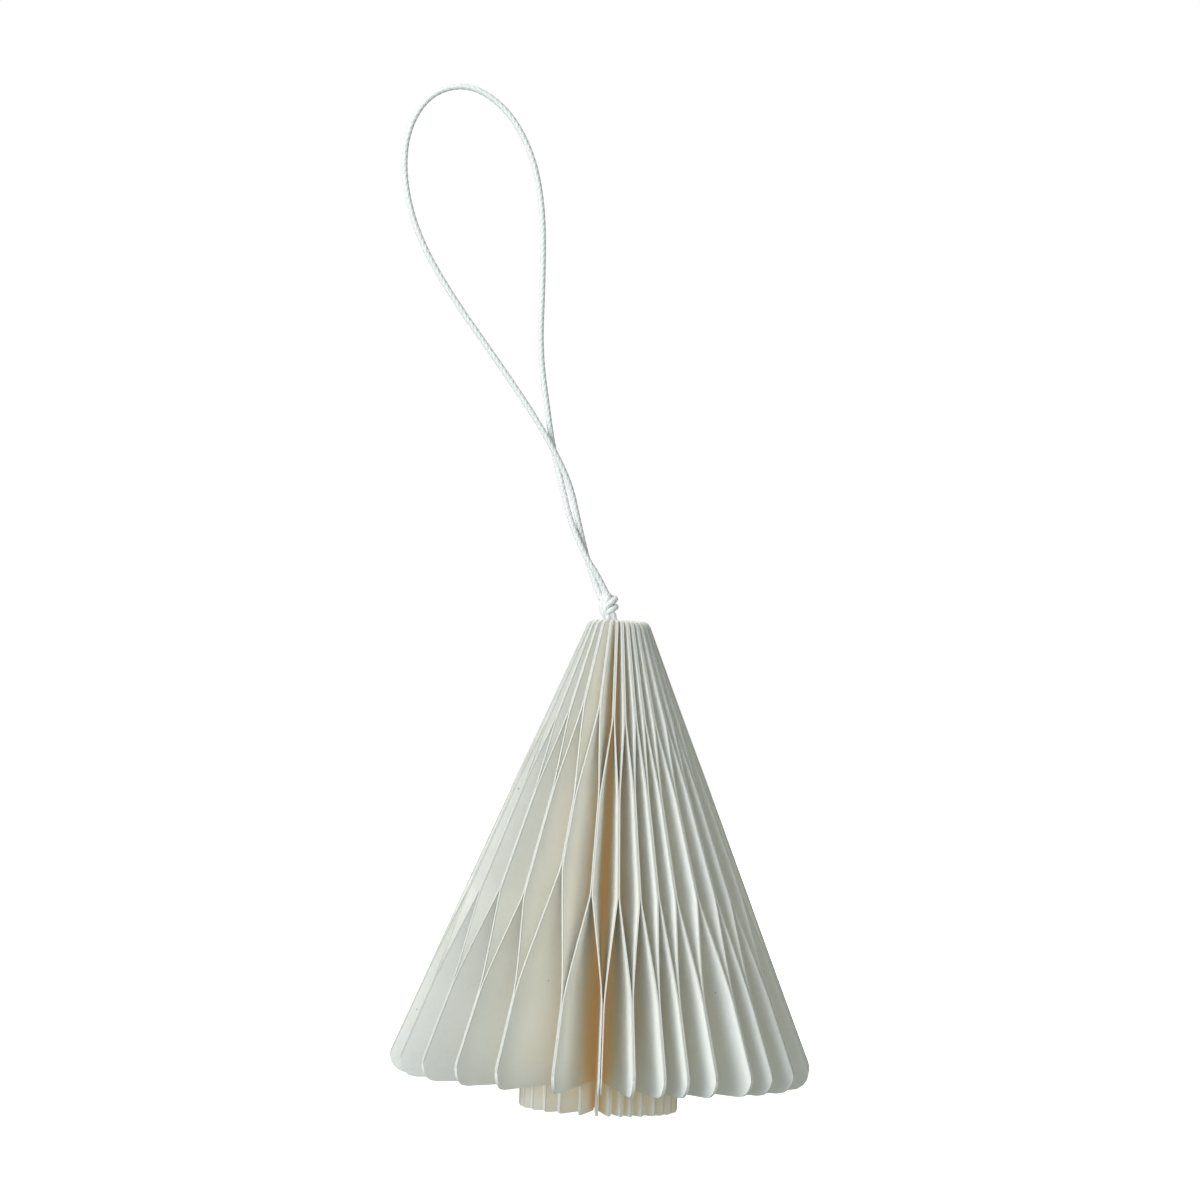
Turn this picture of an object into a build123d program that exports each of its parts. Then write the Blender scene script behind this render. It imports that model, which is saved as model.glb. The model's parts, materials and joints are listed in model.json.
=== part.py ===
from build123d import *
from math import cos, hypot, pi, radians, sin, tan
import os

# Hanging paper ornament: a round tree of upright paper leaves, bound along their inner edges and
# fanned out to a full circle, with a cord loop knotted on top.
# Millimetres, +Z up, origin on the tree's axis at the bottom of the trunk, front seam towards -Y.

# Paper and glue
paper_thickness = 0.22
glue_line = 0.03  # between the two leaves of a pair
pair_clearance = 0.09  # between neighbouring pairs at the spine
seam_gap = 0.12  # between the two end leaves, where the fan closes
closing_strip_thickness = 0.08
closing_strip_heights = ((0.04, 0.17), (0.83, 0.95))  # bottom and top of each, as shares of the tree
closing_strip_reach = (0.68, 0.86)  # inner and outer edge, as shares of the leaf's reach

# Outline of one leaf: half a tree, from its axis outwards
tree_base_radius = 36.2
tree_top_radius = 4.8
tree_height = 75.7
trunk_radius = 13.1
trunk_height = 5.0
base_corner = 2.9
top_corner = 1.6
trunk_corner = 0.7
notch_corner = 0.5

# Fan: directions are turned counterclockwise about +Z from the front seam, in degrees
pair_count = 28
back_pair = 15
right_gaps = [8.6, 8.0, 6.1, 8.3, 12.0, 8.4, 11.6, 15.0]
left_gaps = [12.5, 16.3, 13.3, 13.9, 14.2, 13.8]
spine_turn = -10.5  # the bound edges are spread evenly, and lag behind the fanned leaves

# Cord loop, knot and tails
cord_diameter = 0.95
knot_x = -2.0
knot_cords = (3.45, 4.0)  # width and height of the knot, in cord diameters
knot_lean = 20.0
knot_gap = 0.3  # from the tree's top to the knot
# points of the loop, with their heights above the knot's centre
cord_route = [
    (-1.7, -0.35, 1.1),
    (-3.75, -0.65, 4.9),
    (-5.95, -0.8, 7.9),
    (-8.75, -0.2, 13.8),
    (-10.25, 0.3, 19.2),
    (-12.2, 0.8, 25.9),
    (-13.4, 0.6, 32.5),
    (-15.0, 0.2, 41.7),
    (-15.0, 0.0, 53.1),
    (-15.4, 0.0, 64.7),
    (-17.5, 0.0, 73.9),
    (-21.9, 0.0, 81.2),
    (-28.4, 0.0, 85.2),
    (-34.9, 0.0, 83.4),
    (-38.5, 0.0, 77.1),
    (-38.7, 0.0, 68.9),
    (-35.9, 0.0, 59.5),
    (-30.0, 0.0, 50.1),
    (-22.6, -0.2, 40.5),
    (-16.6, -0.6, 32.5),
    (-12.25, -0.8, 25.9),
    (-9.0, -0.3, 19.8),
    (-7.45, 0.3, 13.8),
    (-5.8, 0.8, 7.9),
    (-4.6, 0.55, 4.6),
    (-3.1, 0.15, 1.2),
]
tail_clearance = 0.05  # between the two tails
tail_gap = 0.75  # between a tail and the back pair's inner edge, filled with glue
tail_mouth_x = -1.2  # where the tails enter the core
tail_bends = (1.3, 8.7)  # depth of their two bends below the tree's top
tail_depth = 30.7

# Worked out from the sizes above
pair_thickness = 2 * paper_thickness + glue_line
pitch = pair_thickness + pair_clearance
core_radius = pair_count * pitch / (2 * pi)
skirt_z = trunk_height
top_z = trunk_height + tree_height
knot_size = tuple(cords * cord_diameter for cords in knot_cords)
knot_reach = hypot(knot_size[1] / 2 * cos(radians(knot_lean)), knot_size[0] / 2 * sin(radians(knot_lean)))
knot_z = top_z + knot_gap + knot_reach


def fanDirections():
    """Direction of every pair, from the right end leaf round to the left end leaf."""
    right = [0.0]
    for gap in right_gaps:
        right.append(right[-1] + gap)
    left = [360.0]
    for gap in left_gaps:
        left.insert(0, left[0] - gap)
    # the rest are spread evenly on either side of the back pair, which points straight back
    right_rest = back_pair - len(right)
    left_rest = pair_count - back_pair - len(left)
    right_step = (180 - right[-1]) / (right_rest + 1)
    left_step = (left[0] - 180) / (left_rest + 1)
    right += [right[-1] + right_step * (i + 1) for i in range(right_rest)]
    left = [180 + left_step * (i + 1) for i in range(left_rest)] + left
    return right + [180.0] + left


def spinePoint(index):
    """Where the inner edge of a pair stands on the round core."""
    turn = radians(index * 360 / pair_count + spine_turn - 90)
    return core_radius * cos(turn), core_radius * sin(turn)


def leafPlane(index, direction):
    """Upright plane in the middle of a pair: x outwards from its inner edge, y up, normal clockwise."""
    turn = radians(direction - 90)
    x, y = spinePoint(index)
    outwards = (cos(turn), sin(turn), 0)
    clockwise = (sin(turn), -cos(turn), 0)
    return Plane(origin=(x, y, 0), x_dir=outwards, z_dir=clockwise)


def edgeRadius(z):
    """Distance from the axis to the slanted edge at a height."""
    return tree_base_radius - (z - skirt_z) * (tree_base_radius - tree_top_radius) / tree_height


def makeLeaf(label, index, direction, near):
    """One die-cut leaf, whose near face is this far clockwise (+) or counterclockwise (-) of the plane."""
    plane = leafPlane(index, direction)
    outer_base = tree_base_radius - core_radius
    outer_top = tree_top_radius - core_radius
    outer_trunk = trunk_radius - core_radius
    corners = {
        (0, 0): 0,
        (outer_trunk, 0): trunk_corner,
        (outer_trunk, skirt_z): notch_corner,
        (outer_base, skirt_z): base_corner,
        (outer_top, top_z): top_corner,
        (0, top_z): 0,
    }
    with BuildPart() as leaf:
        with BuildSketch(plane.offset(near)) as outline:
            with BuildLine():
                Polyline(*corners, close=True)
            make_face()
            for corner, radius in corners.items():
                if radius > 0:
                    fillet(outline.vertices().sort_by_distance((*corner, 0))[0], radius)
        extrude(amount=paper_thickness if near > 0 else -paper_thickness)
    leaf.part.label = label
    return leaf


def writePiece(builder):
    export_step(builder.part, f"parts/{builder.part.label}.step")
    return builder


os.makedirs("parts", exist_ok=True)
directions = fanDirections()

# Leaves: the fan starts and ends with a single leaf, and has a glued pair at every place between
leaf_number = 0
for index, direction in enumerate(directions):
    if index == 0:
        sides = [-seam_gap / 2]
    elif index == pair_count:
        sides = [seam_gap / 2]
    else:
        sides = [glue_line / 2, -glue_line / 2]
    for near in sides:
        leaf_number += 1
        writePiece(makeLeaf(f"leaf_{leaf_number:02d}", index, direction, near))


def stripOutline(low_share, high_share):
    """Corners of an adhesive strip along the slanted edge, in the leaf's plane."""
    inner, outer = closing_strip_reach
    low = skirt_z + low_share * tree_height
    high = skirt_z + high_share * tree_height
    low_reach = edgeRadius(low) - core_radius
    high_reach = edgeRadius(high) - core_radius
    return [
        (inner * low_reach, low),
        (outer * low_reach, low),
        (outer * high_reach, high),
        (inner * high_reach, high),
    ]


# Closing strips: two adhesive strips on the left end leaf, inside the seam where its leaves meet
seam_plane = leafPlane(pair_count, directions[pair_count])
with BuildPart() as closing_strips:
    with BuildSketch(seam_plane.offset(seam_gap / 2)):
        for heights in closing_strip_heights:
            with BuildLine():
                Polyline(*stripOutline(*heights), close=True)
            make_face()
    extrude(amount=-closing_strip_thickness)
closing_strips.part.label = "closing_strips"
writePiece(closing_strips)


def cornerRadii(points):
    """Radius of the arc at each inner point: as large as its two runs allow."""
    radii = []
    for before, at, after in zip(points, points[1:], points[2:]):
        arriving = Vector(*at) - Vector(*before)
        leaving = Vector(*after) - Vector(*at)
        turn = radians(arriving.get_angle(leaving))
        radii.append(0.45 * min(arriving.length, leaving.length) / tan(turn / 2))
    return radii


def sweepCord(route, label):
    """Round tube of the cord's diameter along straight runs joined by tangent arcs."""
    radii = cornerRadii(route)
    print(label, "radii", " ".join(f"{r:.1f}" for r in radii))
    with BuildPart() as tube:
        with BuildLine() as path:
            FilletPolyline(*route, radius=radii)
        with BuildSketch(Plane(origin=path.line @ 0, z_dir=path.line % 0)):
            Circle(cord_diameter / 2)
        sweep(path=path.line)
    length = path.wires()[0].length
    section = pi * cord_diameter**2 / 4
    print(label, f"length {length:.1f} mm, volume {tube.part.volume:.2f} mm3,")
    print(label, f"section x length {section * length:.2f} mm3")
    return tube


# Hanging cord: one loop from the knot and back, its two legs twisted round each other
hanging_cord = sweepCord([(x, y, z + knot_z) for x, y, z in cord_route], "hanging_cord")
hanging_cord.part.label = "hanging_cord"
writePiece(hanging_cord)

# Knot: outer shape of the overhand knot in both legs, resting on the top of the tree
knot_center = (knot_x, 0, knot_z)
knot_across = (cos(radians(knot_lean)), 0, sin(radians(knot_lean)))
knot_plane = Plane(origin=knot_center, x_dir=knot_across, z_dir=(0, -1, 0))
with BuildPart() as cord_knot:
    with BuildSketch(knot_plane):
        Ellipse(knot_size[0] / 2, knot_size[1] / 2)
        with Locations((-knot_size[0] / 2, 0)):
            Rectangle(knot_size[0], knot_size[1], mode=Mode.SUBTRACT)
    revolve(axis=Axis(knot_center, knot_plane.y_dir))
cord_knot.part.label = "cord_knot"
writePiece(cord_knot)

# Tails: the two legs below the knot, which run down the core and are glued to the back pair
back_x, back_y = spinePoint(back_pair)
glued_y = back_y - tail_gap - cord_diameter / 2
tails = []
for side in (-1, 1):
    aside = side * (cord_diameter + tail_clearance) / 2
    tail_route = [
        (tail_mouth_x + aside, 0, knot_z - knot_size[1] / 4),
        (tail_mouth_x + aside, 0, top_z - tail_bends[0]),
        (back_x + aside, glued_y, top_z - tail_bends[1]),
        (back_x + aside, glued_y, top_z - tail_depth),
    ]
    tails.append(sweepCord(tail_route, f"cord_tails {side:+d}").part)
with BuildPart() as cord_tails:
    for tail in tails:
        add(tail)
cord_tails.part.label = "cord_tails"
writePiece(cord_tails)

print("leaves", leaf_number, "pitch", round(pitch, 3), "core radius", round(core_radius, 3))
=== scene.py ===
import json
import math
from random import Random

import bmesh
import bpy
from mathutils import Matrix, Vector

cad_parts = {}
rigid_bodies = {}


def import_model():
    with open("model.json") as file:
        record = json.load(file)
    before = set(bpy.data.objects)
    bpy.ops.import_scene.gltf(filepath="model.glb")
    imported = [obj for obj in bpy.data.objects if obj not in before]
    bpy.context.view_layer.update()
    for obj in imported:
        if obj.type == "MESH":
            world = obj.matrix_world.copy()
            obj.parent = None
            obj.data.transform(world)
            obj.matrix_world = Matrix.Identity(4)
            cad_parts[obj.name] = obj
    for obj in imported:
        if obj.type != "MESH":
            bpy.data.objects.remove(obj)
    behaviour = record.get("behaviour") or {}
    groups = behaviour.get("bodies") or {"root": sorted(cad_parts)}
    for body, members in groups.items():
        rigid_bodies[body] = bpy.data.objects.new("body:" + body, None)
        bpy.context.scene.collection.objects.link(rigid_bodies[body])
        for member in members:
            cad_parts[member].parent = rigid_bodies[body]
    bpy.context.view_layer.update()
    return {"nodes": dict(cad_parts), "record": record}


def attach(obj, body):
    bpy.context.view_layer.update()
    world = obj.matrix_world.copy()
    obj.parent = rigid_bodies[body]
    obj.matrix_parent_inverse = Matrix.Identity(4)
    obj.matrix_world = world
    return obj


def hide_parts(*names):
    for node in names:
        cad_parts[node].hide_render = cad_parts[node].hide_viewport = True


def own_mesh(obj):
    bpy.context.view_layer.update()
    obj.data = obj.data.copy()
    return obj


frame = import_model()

mm = 0.001


def deselectAll():
    if bpy.context.object and bpy.context.object.mode != "OBJECT":
        bpy.ops.object.mode_set(mode="OBJECT")
    bpy.ops.object.select_all(action="DESELECT")


def makeActive(obj):
    deselectAll()
    obj.select_set(True)
    bpy.context.view_layer.objects.active = obj


camera = {"aimX": -3.3, "aimZ": 83.9, "distance": 900, "lens": 163.7, "roll": 2.48, "turn": -0.8}


def makeCamera():
    data = bpy.data.cameras.new("camera")
    data.lens = camera["lens"]
    data.sensor_width = 36
    data.clip_start = 0.01
    obj = bpy.data.objects.new("camera", data)
    bpy.context.collection.objects.link(obj)
    # level, a little to the left of the front seam, and rolled so that the ornament leans to the right
    roll = math.radians(camera["roll"])
    right = Vector((math.cos(roll), 0, math.sin(roll)))
    up = Vector((-math.sin(roll), 0, math.cos(roll)))
    facing = Matrix((right, up, right.cross(up))).transposed().to_4x4()
    place = Matrix.Translation(Vector((camera["aimX"], -camera["distance"], camera["aimZ"])) * mm)
    obj.matrix_world = Matrix.Rotation(math.radians(camera["turn"]), 4, "Z") @ place @ facing
    bpy.context.scene.camera = obj


makeCamera()
print("camera set")


class Value:
    # a number socket that can be used in sums
    def __init__(self, shader, socket):
        self.shader = shader
        self.socket = socket

    def maths(self, operation, first, second):
        return self.shader.node("ShaderNodeMath", {"operation": operation}, {0: first, 1: second})

    def __add__(self, other):
        return self.maths("ADD", self, other)

    def __radd__(self, other):
        return self.maths("ADD", other, self)

    def __sub__(self, other):
        return self.maths("SUBTRACT", self, other)

    def __rsub__(self, other):
        return self.maths("SUBTRACT", other, self)

    def __mul__(self, other):
        return self.maths("MULTIPLY", self, other)

    def __rmul__(self, other):
        return self.maths("MULTIPLY", other, self)

    def __truediv__(self, other):
        return self.maths("DIVIDE", self, other)

    def __pow__(self, other):
        return self.maths("POWER", self, other)

    def __gt__(self, other):
        return self.maths("GREATER_THAN", self, other)

    def __lt__(self, other):
        return self.maths("LESS_THAN", self, other)


class Shader:
    # one procedural material and its Principled node
    def __init__(self, name, roughness, specular=0.3, sheen=0.0):
        self.material = bpy.data.materials.new(name)
        self.material.use_nodes = True
        self.tree = self.material.node_tree
        self.surface = self.tree.nodes["Principled BSDF"]
        self.surface.inputs["Roughness"].default_value = roughness
        self.surface.inputs["Specular IOR Level"].default_value = specular
        self.surface.inputs["Sheen Weight"].default_value = sheen
        self.place = self.node("ShaderNodeTexCoord", {}, {}, "Object")

    def node(self, kind, settings, inputs, output=0):
        made = self.tree.nodes.new(kind)
        for name, value in settings.items():
            if name == "stops":
                for i, (at, color) in enumerate(value):
                    if i > 1:
                        made.color_ramp.elements.new(at)
                    made.color_ramp.elements[i].position = at
                    made.color_ramp.elements[i].color = color
            else:
                setattr(made, name, value)
        for name, value in inputs.items():
            if isinstance(value, Value):
                self.tree.links.new(value.socket, made.inputs[name])
            else:
                made.inputs[name].default_value = value
        return Value(self, made.outputs[output])

    def noise(self, scale, detail=4.0, rough=0.55, at=None):
        inputs = {"Vector": at or self.place, "Scale": scale, "Detail": detail, "Roughness": rough}
        return self.node("ShaderNodeTexNoise", {}, inputs, "Fac")

    def mixColor(self, factor, first, second, blend="MIX"):
        settings = {"data_type": "RGBA", "blend_type": blend}
        return self.node("ShaderNodeMix", settings, {0: factor, 6: first, 7: second}, 2)

    def smooth(self, value, low, high, start=0.0, end=1.0):
        settings = {"interpolation_type": "SMOOTHSTEP"}
        inputs = {"Value": value, "From Min": low, "From Max": high, "To Min": start, "To Max": end}
        return self.node("ShaderNodeMapRange", settings, inputs, "Result")

    def bump(self, height, distance, strength=1.0):
        inputs = {"Height": height, "Distance": distance, "Strength": strength}
        return self.node("ShaderNodeBump", {}, inputs, "Normal")

    def set(self, name, value):
        self.tree.links.new(value.socket, self.surface.inputs[name])


def rgb(red, green, blue):
    return (red, green, blue, 1.0)


leaf = {
    "thickness": 0.22 * mm,
    "glue": 0.03 * mm,
    "baseRadius": 36.2 * mm,
    "topRadius": 4.8 * mm,
    "trunkRadius": 13.1 * mm,
    "trunkHeight": 5.0 * mm,
    "height": 75.7 * mm,
    "baseCorner": 2.9 * mm,
    "topCorner": 1.6 * mm,
    "trunkCorner": 0.7 * mm,
    "rowStep": 1.25 * mm,
    "trunkColumns": 4,
    "skirtColumns": 8,
    # share of a leaf's bow, and of its thickness, that is left when the fan is folded
    "flatten": 0.025,
}
paper = {
    "outer": rgb(0.95, 0.94, 0.89),
    "warm": rgb(0.94, 0.895, 0.77),
    "core": rgb(0.84, 0.66, 0.44),
    "coreShare": (0.05, 0.62),
    "edge": rgb(0.66, 0.66, 0.62),
    "edgeDepth": (0.34 * mm, 0.14 * mm),
    "speck": rgb(0.30, 0.24, 0.18),
    "grain": 0.018 * mm,
    "glow": 0.3,
    "bounce": rgb(1.0, 0.80, 0.44),
    "bounceShare": (0.05, 0.95),
    "bounceStrength": 0.07,
}


def makePaper():
    shader = Shader("paper", roughness=0.86, specular=0.22)
    xyz = shader.tree.nodes.new("ShaderNodeSeparateXYZ")
    shader.tree.links.new(shader.place.socket, xyz.inputs[0])
    x, y, z = (Value(shader, xyz.outputs[k]) for k in range(3))
    # how far out a point lies, as a share of the tree's radius at its height
    radius = (x * x + y * y) ** 0.5
    slope = (leaf["baseRadius"] - leaf["topRadius"]) / leaf["height"]
    treeRadius = leaf["baseRadius"] + slope * leaf["trunkHeight"] - z * slope
    onTrunk = z < leaf["trunkHeight"]
    reach = treeRadius * (1 - onTrunk) + leaf["trunkRadius"] * onTrunk
    depth = shader.smooth(radius / reach, paper["coreShare"][0], paper["coreShare"][1])
    cloudy = shader.noise(260, 5)
    fibre = shader.noise(1500, 6, 0.7)
    grain = shader.noise(7000, 3, 0.6)
    # warmer patches, then a tan tint towards the core that stands in for the shade of the deep folds
    tone = shader.mixColor(shader.smooth(cloudy, 0.35, 0.7, 0.0, 0.28), paper["outer"], paper["warm"])
    tone = shader.mixColor(shader.smooth(fibre, 0.3, 0.75, 0.0, 0.10), tone, rgb(0.72, 0.71, 0.66))
    tone = shader.mixColor(shader.smooth(grain, 0.35, 0.65, 0.0, 0.07), tone, rgb(0.60, 0.60, 0.56))
    tone = shader.mixColor(depth, paper["core"], tone)
    # the cut edge is duller than the faces
    cut = shader.smooth(radius, reach - paper["edgeDepth"][0], reach - paper["edgeDepth"][1], 0.0, 0.8)
    tone = shader.mixColor(cut, tone, paper["edge"])
    # a few tiny dark inclusions
    cells = {"Vector": shader.place, "Scale": 330}
    near = shader.node("ShaderNodeTexVoronoi", {}, cells, "Distance")
    pick = shader.node("ShaderNodeTexVoronoi", {}, cells, "Color")
    chosen = shader.node("ShaderNodeSeparateColor", {}, {0: pick}, 0) > 0.86
    speck = shader.smooth(near, 0.035, 0.07, 1.0, 0.0) * chosen * 0.6
    tone = shader.mixColor(speck, tone, paper["speck"])
    shader.set("Base Color", tone)
    shader.set("Roughness", shader.smooth(fibre, 0.3, 0.7, 0.80, 0.92))
    # a faint warm emission, strongest at the core, stands in for light bounced between the leaves
    shallow = shader.smooth(radius / treeRadius, paper["bounceShare"][0], paper["bounceShare"][1])
    shader.set("Emission Color", shader.mixColor(shallow, paper["bounce"], rgb(0, 0, 0)))
    shader.surface.inputs["Emission Strength"].default_value = paper["bounceStrength"]
    # light glows through the thin sheet
    shader.surface.inputs["Subsurface Weight"].default_value = paper["glow"]
    shader.surface.inputs["Subsurface Radius"].default_value = (1.0, 0.9, 0.75)
    shader.surface.inputs["Subsurface Scale"].default_value = 0.5 * mm
    relief = fibre * 0.6 + grain * 0.4
    shader.set("Normal", shader.bump(relief, paper["grain"]))
    return shader.material


cord = {
    "diameter": 0.95 * mm,
    "strands": 4,
    "lay": 4.2 * mm,
    "groove": 0.15,
    "around": 24,
    "step": 0.14 * mm,
    "color": rgb(0.83, 0.83, 0.83),
    "shade": rgb(0.70, 0.71, 0.70),
}
knotCentre = Vector((-2.0, 0, 82.895))
# points of the loop, with their heights above the knot's centre
cordRoute = [
    (-1.7, -0.35, 1.1),
    (-3.75, -0.65, 4.9),
    (-5.95, -0.8, 7.9),
    (-8.75, -0.2, 13.8),
    (-10.25, 0.3, 19.2),
    (-12.2, 0.8, 25.9),
    (-13.4, 0.6, 32.5),
    (-15.0, 0.2, 41.7),
    (-15.0, 0.0, 53.1),
    (-15.4, 0.0, 64.7),
    (-17.5, 0.0, 73.9),
    (-21.9, 0.0, 81.2),
    (-28.4, 0.0, 85.2),
    (-34.9, 0.0, 83.4),
    (-38.5, 0.0, 77.1),
    (-38.7, 0.0, 68.9),
    (-35.9, 0.0, 59.5),
    (-30.0, 0.0, 50.1),
    (-22.6, -0.2, 40.5),
    (-16.6, -0.6, 32.5),
    (-12.25, -0.8, 25.9),
    (-9.0, -0.3, 19.8),
    (-7.45, 0.3, 13.8),
    (-5.8, 0.8, 7.9),
    (-4.6, 0.55, 4.6),
    (-3.1, 0.15, 1.2),
]
cordRoute = [(x, y, z + knotCentre.z) for x, y, z in cordRoute]


def makeCordMaterial():
    shader = Shader("cord", roughness=0.62, specular=0.35, sheen=0.25)
    fibre = shader.noise(5200, 4, 0.6)
    soft = shader.noise(420, 3)
    tone = shader.mixColor(shader.smooth(fibre, 0.35, 0.7, 0.0, 0.18), cord["color"], cord["shade"])
    tone = shader.mixColor(shader.smooth(soft, 0.4, 0.75, 0.0, 0.18), tone, rgb(0.74, 0.75, 0.70))
    shader.set("Base Color", tone)
    shader.set("Roughness", shader.smooth(fibre, 0.3, 0.7, 0.55, 0.8))
    shader.set("Normal", shader.bump(fibre, 0.005 * mm))
    return shader.material


def splinePoints(route, name):
    # the smooth line that a tube follows, read from a NURBS spline with the route as control points
    curve = bpy.data.curves.new(name, "CURVE")
    curve.dimensions = "3D"
    spline = curve.splines.new("NURBS")
    spline.points.add(len(route) - 1)
    for point, at in zip(spline.points, route):
        point.co = (*(Vector(at) * mm), 1)
    spline.order_u = 3
    spline.use_endpoint_u = True
    spline.resolution_u = 20
    holder = bpy.data.objects.new(name, curve)
    bpy.context.collection.objects.link(holder)
    bpy.context.view_layer.update()
    mesh = bpy.data.meshes.new_from_object(holder)
    points = [v.co.copy() for v in mesh.vertices]
    bpy.data.objects.remove(holder)
    bpy.data.curves.remove(curve)
    bpy.data.meshes.remove(mesh)
    return points


def evenly(points, step):
    # the same line with points one step apart
    lengths = [0.0]
    for a, b in zip(points, points[1:]):
        lengths.append(lengths[-1] + (b - a).length)
    count = max(8, round(lengths[-1] / step))
    made, i = [], 0
    for k in range(count + 1):
        at = lengths[-1] * k / count
        while i < len(points) - 2 and lengths[i + 1] < at:
            i += 1
        share = (at - lengths[i]) / max(lengths[i + 1] - lengths[i], 1e-12)
        made.append(points[i].lerp(points[i + 1], share))
    return made


def twistedTube(bm, points, radius, phase=0.0):
    # round laid cord: the strands show as shallow grooves that wind round it
    around = cord["around"]
    rings, normal, travelled = [], None, 0.0
    for i, at in enumerate(points):
        ahead = (points[min(i + 1, len(points) - 1)] - points[max(i - 1, 0)]).normalized()
        if normal is None:
            normal = ahead.orthogonal().normalized()
        normal = (normal - ahead * normal.dot(ahead)).normalized()
        side = ahead.cross(normal)
        if i:
            travelled += (at - points[i - 1]).length
        turn = phase + 2 * math.pi * travelled / cord["lay"]
        ring = []
        for k in range(around):
            angle = 2 * math.pi * k / around
            lobe = abs(math.sin(cord["strands"] / 2 * (angle - turn)))
            reach = radius * (1.03 - cord["groove"] * (1 - lobe) ** 1.6)
            ring.append(bm.verts.new(at + normal * math.cos(angle) * reach + side * math.sin(angle) * reach))
        rings.append(ring)
    for one, two in zip(rings, rings[1:]):
        for k in range(around):
            n = (k + 1) % around
            bm.faces.new((one[k], one[n], two[n], two[k]))
    bm.faces.new(list(reversed(rings[0])))
    bm.faces.new(rings[-1])


def finishMesh(bm, name, material):
    bmesh.ops.recalc_face_normals(bm, faces=bm.faces)
    mesh = bpy.data.meshes.new(name)
    bm.to_mesh(mesh)
    bm.free()
    obj = bpy.data.objects.new(name, mesh)
    bpy.context.collection.objects.link(obj)
    mesh.materials.append(material)
    makeActive(obj)
    bpy.ops.object.shade_smooth_by_angle(angle=math.radians(50))
    return obj


cordMaterial = makeCordMaterial()


def makeCord():
    line = evenly(splinePoints(cordRoute, "cordLine"), cord["step"])
    bm = bmesh.new()
    twistedTube(bm, line, cord["diameter"] / 2)
    return finishMesh(bm, "hanging_cord_twisted", cordMaterial), line


# strands of an overhand knot in both legs, each a short run of cord
knot = {
    "radius": 0.5,
    "strands": [
        [(-2.3, 0.1, 84.9), (-2.75, -0.2, 84.2), (-3.0, -0.45, 83.2), (-2.9, -0.5, 82.3), (-2.5, -0.35, 81.5),
         (-2.0, 0.1, 81.0)],
        [(-1.9, -0.2, 84.9), (-2.05, -0.6, 84.2), (-2.35, -0.85, 83.4), (-2.35, -0.85, 82.5),
         (-2.0, -0.5, 81.7), (-1.8, 0.0, 81.1)],
        [(-2.5, 0.8, 83.6), (-1.6, 1.0, 84.2), (-0.9, 0.4, 84.35), (-0.75, -0.4, 84.1), (-1.5, -1.0, 83.6),
         (-2.2, -0.95, 82.9)],
        [(-2.4, 0.8, 82.3), (-1.5, 1.0, 82.8), (-0.75, 0.4, 83.0), (-0.6, -0.35, 82.85), (-1.3, -0.9, 82.5),
         (-2.0, -0.75, 81.9)],
        [(-3.0, 0.4, 82.6), (-2.6, 0.9, 83.2), (-1.8, 1.0, 83.4)],
    ],
}
tails = [
    [(-2.0, -0.3, 82.4), (-1.85, -0.5, 81.5), (-1.75, -0.2, 80.4), (-1.7, 0.3, 78.6), (-0.5, 1.27, 72.0),
     (-0.5, 1.27, 50.0)],
    [(-1.5, -0.3, 82.6), (-1.05, -0.5, 81.7), (-0.7, -0.2, 80.5), (-0.7, 0.3, 78.6), (0.5, 1.27, 72.0),
     (0.5, 1.27, 50.0)],
]


def makeStrands(routes, name, radius):
    bm = bmesh.new()
    for i, route in enumerate(routes):
        line = evenly(splinePoints(route, name), cord["step"])
        twistedTube(bm, line, radius * mm, phase=1.1 * i)
    return finishMesh(bm, name, cordMaterial)


cordPiece, cordLine = makeCord()
knotPiece = makeStrands(knot["strands"], "cord_knot_wraps", knot["radius"])
tailPiece = makeStrands(tails, "cord_tails_twisted", cord["diameter"] / mm / 2)
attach(cordPiece, "back_pair")
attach(knotPiece, "back_pair")
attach(tailPiece, "back_pair")
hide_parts("hanging_cord")
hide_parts("cord_knot")
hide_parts("cord_tails")
cordLength = sum((b - a).length for a, b in zip(cordLine, cordLine[1:]))
print("cord made", round(cordLength, 4))

# heights where neighbouring leaves are glued: within a pair above upper and below lower, and to the
# next pair from middleTop down to middleLow
bands = {
    "upper": 64.4 * mm,
    "middleTop": 52.6 * mm,
    "middleLow": 36.0 * mm,
    "lower": 20.2 * mm,
    "vary": 0.5 * mm,
}
# glued by hand, so some places differ: pair number to (upper, lower), and gap number to (top, low)
pairShift = {0: (0.2, -1.2), 25: (1.0, 0), 26: (2.3, 0.2), 27: (2.3, -1.0)}
gapShift = {26: (-1.2, 4.8), 27: (-1.0, 0.6), 0: (-0.9, 0)}


def leafNodes():
    return sorted(name for name in frame["nodes"] if name.startswith("leaf_"))


def readLeaf(name):
    # middle line of a flat leaf seen from above: its inner edge and the direction it points in
    points = [v.co for v in bpy.data.objects[name].data.vertices]
    far = max(p.xy.length for p in points)
    near = min(p.xy.length for p in points)
    inner = [p.xy for p in points if p.xy.length < near + 0.05 * mm]
    outer = [p.xy for p in points if p.xy.length > far - 0.05 * mm]
    start = sum(inner, Vector((0, 0))) / len(inner)
    end = sum(outer, Vector((0, 0))) / len(outer)
    return start, (end - start).normalized()


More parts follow.
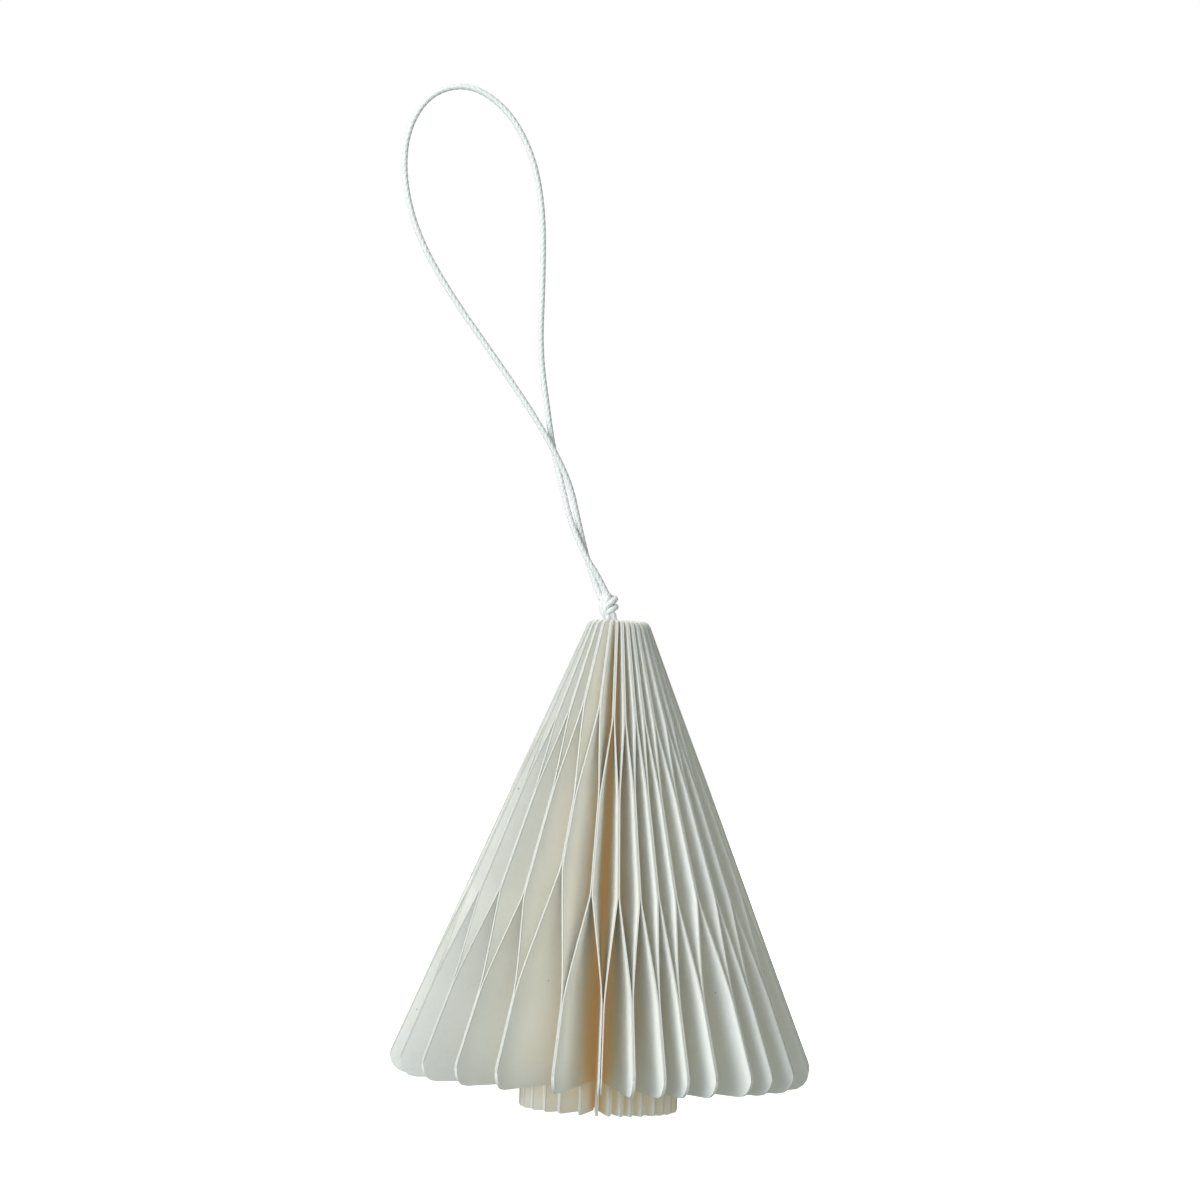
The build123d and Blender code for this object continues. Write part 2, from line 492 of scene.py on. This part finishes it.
def makeBlank(core):
    # one flat leaf standing on the XZ plane, its inner edge on the Z axis
    slope = (leaf["baseRadius"] - leaf["topRadius"]) / leaf["height"]
    lean = math.atan(slope)
    low = leaf["trunkHeight"]
    top = low + leaf["height"]
    base = leaf["baseRadius"] - core

    def slanted(z):
        return base - (z - low) * slope

    # outline from the skirt's lower corner to the top corner, as (reach, height)
    corner = leaf["baseCorner"]
    centre = (slanted(low + corner) - corner / math.cos(lean), low + corner)
    edge = [(centre[0] + corner * math.cos(a), centre[1] + corner * math.sin(a))
            for a in (math.radians(d) for d in (-90, -68, -45, -24, -4, 10, math.degrees(lean)))]
    corner = leaf["topCorner"]
    centre = (slanted(top - corner) - corner / math.cos(lean), top - corner)
    crown = [(centre[0] + corner * math.cos(a), centre[1] + corner * math.sin(a))
             for a in (lean + (math.pi / 2 - lean) * k / 4 for k in range(5))]
    rows = round((crown[0][1] - edge[-1][1]) / leaf["rowStep"])
    side = [(slanted(z), z) for z in
            (edge[-1][1] + (crown[0][1] - edge[-1][1]) * k / rows for k in range(1, rows))]
    outline = edge + side + crown
    columns = leaf["trunkColumns"] + leaf["skirtColumns"]
    trunk = (leaf["trunkRadius"] - core) / outline[0][0]
    shares = [trunk * k / leaf["trunkColumns"] for k in range(leaf["trunkColumns"])]
    shares += [trunk + (1 - trunk) * k / leaf["skirtColumns"] for k in range(leaf["skirtColumns"] + 1)]

    deselectAll()
    bpy.ops.mesh.primitive_grid_add(x_subdivisions=columns, y_subdivisions=len(outline) - 1, size=1)
    blank = bpy.context.object
    blank.name = "leaf_blank"
    for v in blank.data.vertices:
        column, row = round((v.co.x + 0.5) * columns), round((v.co.y + 0.5) * (len(outline) - 1))
        reach, z = outline[row]
        v.co = (shares[column] * reach, 0, z)

    # the trunk is drawn down from the skirt's inner part
    bpy.ops.object.mode_set(mode="EDIT")
    bm = bmesh.from_edit_mesh(blank.data)
    bpy.ops.mesh.select_all(action="DESELECT")
    reach = trunk * outline[0][0]
    for e in bm.edges:
        if all(v.co.z < low + 1e-6 and v.co.x < reach + 1e-6 for v in e.verts):
            e.select_set(True)
    bm.select_flush(True)
    bmesh.update_edit_mesh(blank.data)
    corner = leaf["trunkCorner"]
    heights = [low * 0.68, low * 0.36, corner, corner * 0.29, 0]
    level = low
    for z in heights:
        bpy.ops.mesh.extrude_region_move(TRANSFORM_OT_translate={"value": (0, 0, z - level)})
        level = z
    bpy.ops.object.mode_set(mode="OBJECT")
    for v in blank.data.vertices:
        if v.co.z < corner:
            limit = reach - corner + math.sqrt(max(0, corner**2 - (corner - v.co.z) ** 2))
            v.co.x = min(v.co.x, limit)
    makeActive(blank)
    bpy.ops.object.modifier_add(type="SOLIDIFY")
    wall = blank.modifiers[-1]
    wall.thickness = leaf["thickness"]
    wall.offset = 0
    bpy.ops.object.modifier_apply(modifier=wall.name)
    return blank


def rise(share):
    # how a leaf swings over from one glued band to the next one down: at once, then ever more gently
    return 1 - (1 - min(1, max(0, share))) ** 1.4


def makeLeaves():
    names = leafNodes()
    lines = {name: readLeaf(name) for name in names}
    core = min(start.length for start, _ in lines.values())
    blank = makeBlank(core)
    print("blank leaf", len(blank.data.polygons), "faces")
    draw = Random(7)
    count = len(names)

    def levels(known):
        made = []
        for k in range(count // 2 + 1):
            if k in known:
                made.append([shift * mm for shift in known[k]])
            else:
                made.append([draw.uniform(-1, 1) * bands["vary"] for n in (0, 1)])
        return made

    pairLevels, gapLevels = levels(pairShift), levels(gapShift)
    pairLevels[-1] = pairLevels[0]
    apart = (leaf["thickness"] + leaf["glue"]) / 2
    made = []
    for i, name in enumerate(names):
        start, ahead = lines[name]
        normal = Vector((-ahead.y, ahead.x))
        # leaf_01 is alone at the seam, then 02 and 03 are a pair, and so on
        side = 1 if i % 2 == 0 else -1
        partner = lines[names[(i + side) % count]]
        middle = (start + partner[0]) / 2
        meet = (ahead + partner[1]).normalized()
        meetNormal = Vector((-meet.y, meet.x))
        pair, gap = pairLevels[(i + 1) // 2], gapLevels[i // 2]
        upper, lower = bands["upper"] + pair[0], bands["lower"] + pair[1]
        middleTop, middleLow = bands["middleTop"] + gap[0], bands["middleLow"] + gap[1]
        obj = blank.copy()
        obj.data = blank.data.copy()
        obj.name = name + "_paper"
        bpy.context.collection.objects.link(obj)
        for v in obj.data.vertices:
            reach, offset, z = v.co
            over = rise((upper - z) / (upper - middleTop))
            back = rise((middleLow - z) / (middleLow - lower))
            swing = over - back
            flat = start + ahead * reach
            bowed = middle + meet * reach - meetNormal * apart * side
            at = flat.lerp(bowed, swing) + normal.lerp(meetNormal, swing).normalized() * offset
            v.co = (at.x, at.y, z)
        obj.data.update()
        made.append((obj, name, start, normal))
    bpy.data.objects.remove(blank)
    return made


def bodyOf(node):
    bodies = frame["record"]["behaviour"]["bodies"]
    return next(body for body, nodes in bodies.items() if node in nodes)


paperMaterial = makePaper()
for obj, name, start, normal in makeLeaves():
    obj.data.materials.clear()
    obj.data.materials.append(paperMaterial)
    makeActive(obj)
    bpy.ops.object.shade_smooth_by_angle(angle=math.radians(40))
    body = bodyOf(name)
    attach(obj, body)
    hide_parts(name)
    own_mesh(obj)
print("leaves made")

strip = bpy.data.objects["closing_strips"]
stripShader = Shader("closingStrip", roughness=0.55)
stripGrain = stripShader.noise(2200, 4)
stripShader.set("Base Color", stripShader.mixColor(stripGrain, rgb(0.72, 0.70, 0.62), rgb(0.82, 0.81, 0.76)))
stripShader.set("Normal", stripShader.bump(stripGrain, 0.02 * mm))
strip.data.materials.clear()
strip.data.materials.append(stripShader.material)

studio = {
    "floor": 3.0,
    "world": 0.30,
    "worldColor": (0.88, 1.0, 0.94, 1.0),
    "key": {"turn": -55, "rise": 35, "away": 1.0, "size": 0.6, "power": 6.2, "color": (1.0, 0.95, 0.85)},
    "front": {"turn": -30, "rise": 5, "away": 1.0, "size": 0.6, "power": 6.0, "color": (0.76, 0.86, 1.0)},
    "fill": {"turn": 14, "rise": 8, "away": 1.0, "size": 0.6, "power": 1.1, "color": (1.0, 0.99, 0.93)},
    "back": {"turn": 170, "rise": 30, "away": 1.0, "size": 0.6, "power": 4.0, "color": (1.0, 0.98, 0.96)},
}


def makeLight(name, spec):
    data = bpy.data.lights.new(name, "AREA")
    data.shape = "DISK"
    data.size = spec["size"]
    data.energy = spec["power"]
    data.color = spec["color"]
    obj = bpy.data.objects.new(name, data)
    bpy.context.collection.objects.link(obj)
    turn, lift = math.radians(spec["turn"]), math.radians(spec["rise"])
    centre = Vector((0, 0, 0.045))
    away = Vector((math.sin(turn) * math.cos(lift), -math.cos(turn) * math.cos(lift), math.sin(lift)))
    obj.location = centre + away * spec["away"]
    obj.rotation_euler = away.to_track_quat("Z", "Y").to_euler()


def makeStudio():
    for name in ("key", "front", "fill", "back"):
        makeLight(name, studio[name])
    world = bpy.data.worlds.new("studio")
    bpy.context.scene.world = world
    world.use_nodes = True
    tree = world.node_tree
    back = tree.nodes["Background"]
    back.inputs["Color"].default_value = studio["worldColor"]
    back.inputs["Strength"].default_value = studio["world"]
    # the backdrop is white, and lights the paper only softly
    white = tree.nodes.new("ShaderNodeBackground")
    path = tree.nodes.new("ShaderNodeLightPath")
    mix = tree.nodes.new("ShaderNodeMixShader")
    tree.links.new(path.outputs["Is Camera Ray"], mix.inputs[0])
    tree.links.new(back.outputs[0], mix.inputs[1])
    tree.links.new(white.outputs[0], mix.inputs[2])
    tree.links.new(mix.outputs[0], tree.nodes["World Output"].inputs["Surface"])
    white.inputs["Color"].default_value = (1, 1, 1, 1)
    deselectAll()
    bpy.ops.mesh.primitive_plane_add(size=studio["floor"], location=(0, 0, 0))
    floor = bpy.context.object
    floor.name = "floor"
    shader = Shader("floor", roughness=0.9, specular=0.1)
    shade = shader.noise(40, 3)
    shader.set("Base Color", shader.mixColor(shade, rgb(0.93, 0.93, 0.93), rgb(0.95, 0.95, 0.95)))
    shader.surface.inputs["Emission Color"].default_value = (1, 1, 1, 1)
    shader.surface.inputs["Emission Strength"].default_value = 0.93
    floor.data.materials.append(shader.material)
    floor.visible_diffuse = False
    floor.visible_glossy = False
    view = bpy.context.scene.view_settings
    view.view_transform = "Standard"
    view.look = "None"


makeStudio()
print("studio made")
